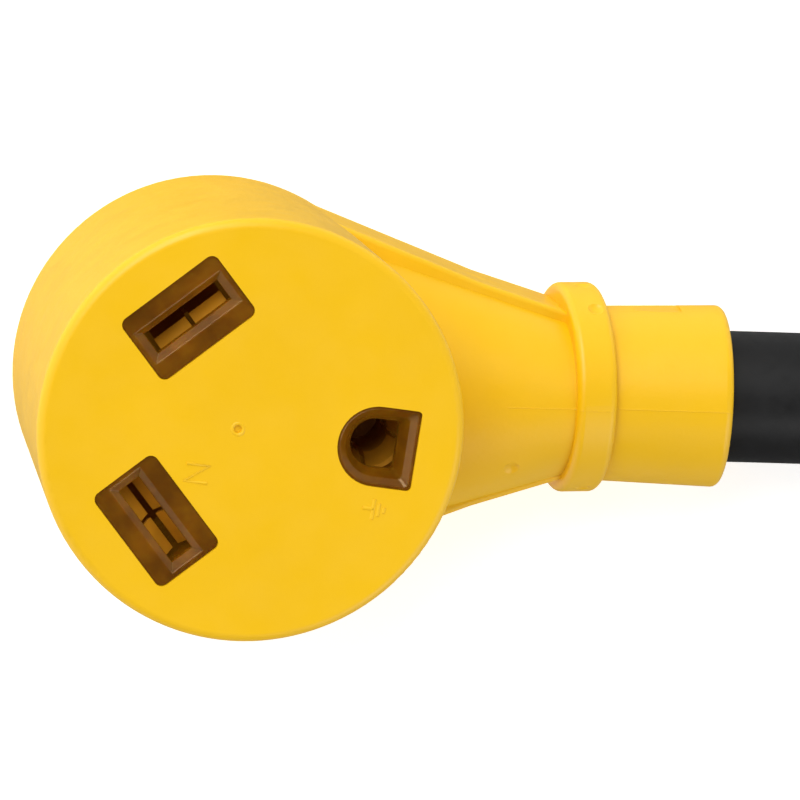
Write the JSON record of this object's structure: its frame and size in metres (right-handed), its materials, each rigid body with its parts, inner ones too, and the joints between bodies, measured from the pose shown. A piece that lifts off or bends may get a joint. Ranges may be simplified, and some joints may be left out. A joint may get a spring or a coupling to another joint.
{
  "type": "power adapter dogbone",
  "caption": "Dogbone power adapter: a round travel-trailer receptacle with a side neck, a short heavy round cord and a straight household plug.",
  "frame": {"origin": "where the axis of the receptacle's round body meets its flat back, which rests on the surface", "axes": "+Z is the way the receptacle face looks, +X is the way the neck and the cord leave the round body, +Y follows by the right-hand rule"},
  "size_m": [0.4588, 0.1384, 0.049],
  "materials": {
    "yellow_pvc": "satin moulded PVC",
    "amber_insert": "polished brown tinted polycarbonate",
    "brass_strip": "formed strip",
    "plated_blade": "drawn and stamped brass",
    "copper": "stranded copper",
    "black_jacket": "satin cord jacket",
    "black_insert": "moulded insert",
    "black_insulation": "wire insulation",
    "white_insulation": "wire insulation",
    "green_insulation": "wire insulation",
    "jute_filler": "twisted filler cord"
  },
  "bodies": {
    "root": {"cable_jacket": "black_jacket", "carrier_rear_cover": "amber_insert", "contact_carrier": "amber_insert", "ground_contact": "brass_strip", "hot_contact": "brass_strip", "neutral_contact": "brass_strip", "plug_bridge": "black_insert", "plug_cable_filler": "jute_filler", "plug_ground_conductor": "copper", "plug_ground_pin": "plated_blade", "plug_ground_wire": "green_insulation", "plug_hot_blade": "plated_blade", "plug_hot_conductor": "copper", "plug_hot_wire": "black_insulation", "plug_housing": "yellow_pvc", "plug_jacket_end": "black_jacket", "plug_neutral_blade": "plated_blade", "plug_neutral_conductor": "copper", "plug_neutral_wire": "white_insulation", "receptacle_cable_filler": "jute_filler", "receptacle_ground_conductor": "copper", "receptacle_ground_wire": "green_insulation", "receptacle_hot_conductor": "copper", "receptacle_hot_wire": "black_insulation", "receptacle_housing": "yellow_pvc", "receptacle_jacket_end": "black_jacket", "receptacle_neutral_conductor": "copper", "receptacle_neutral_wire": "white_insulation"}
  },
  "joints": []
}
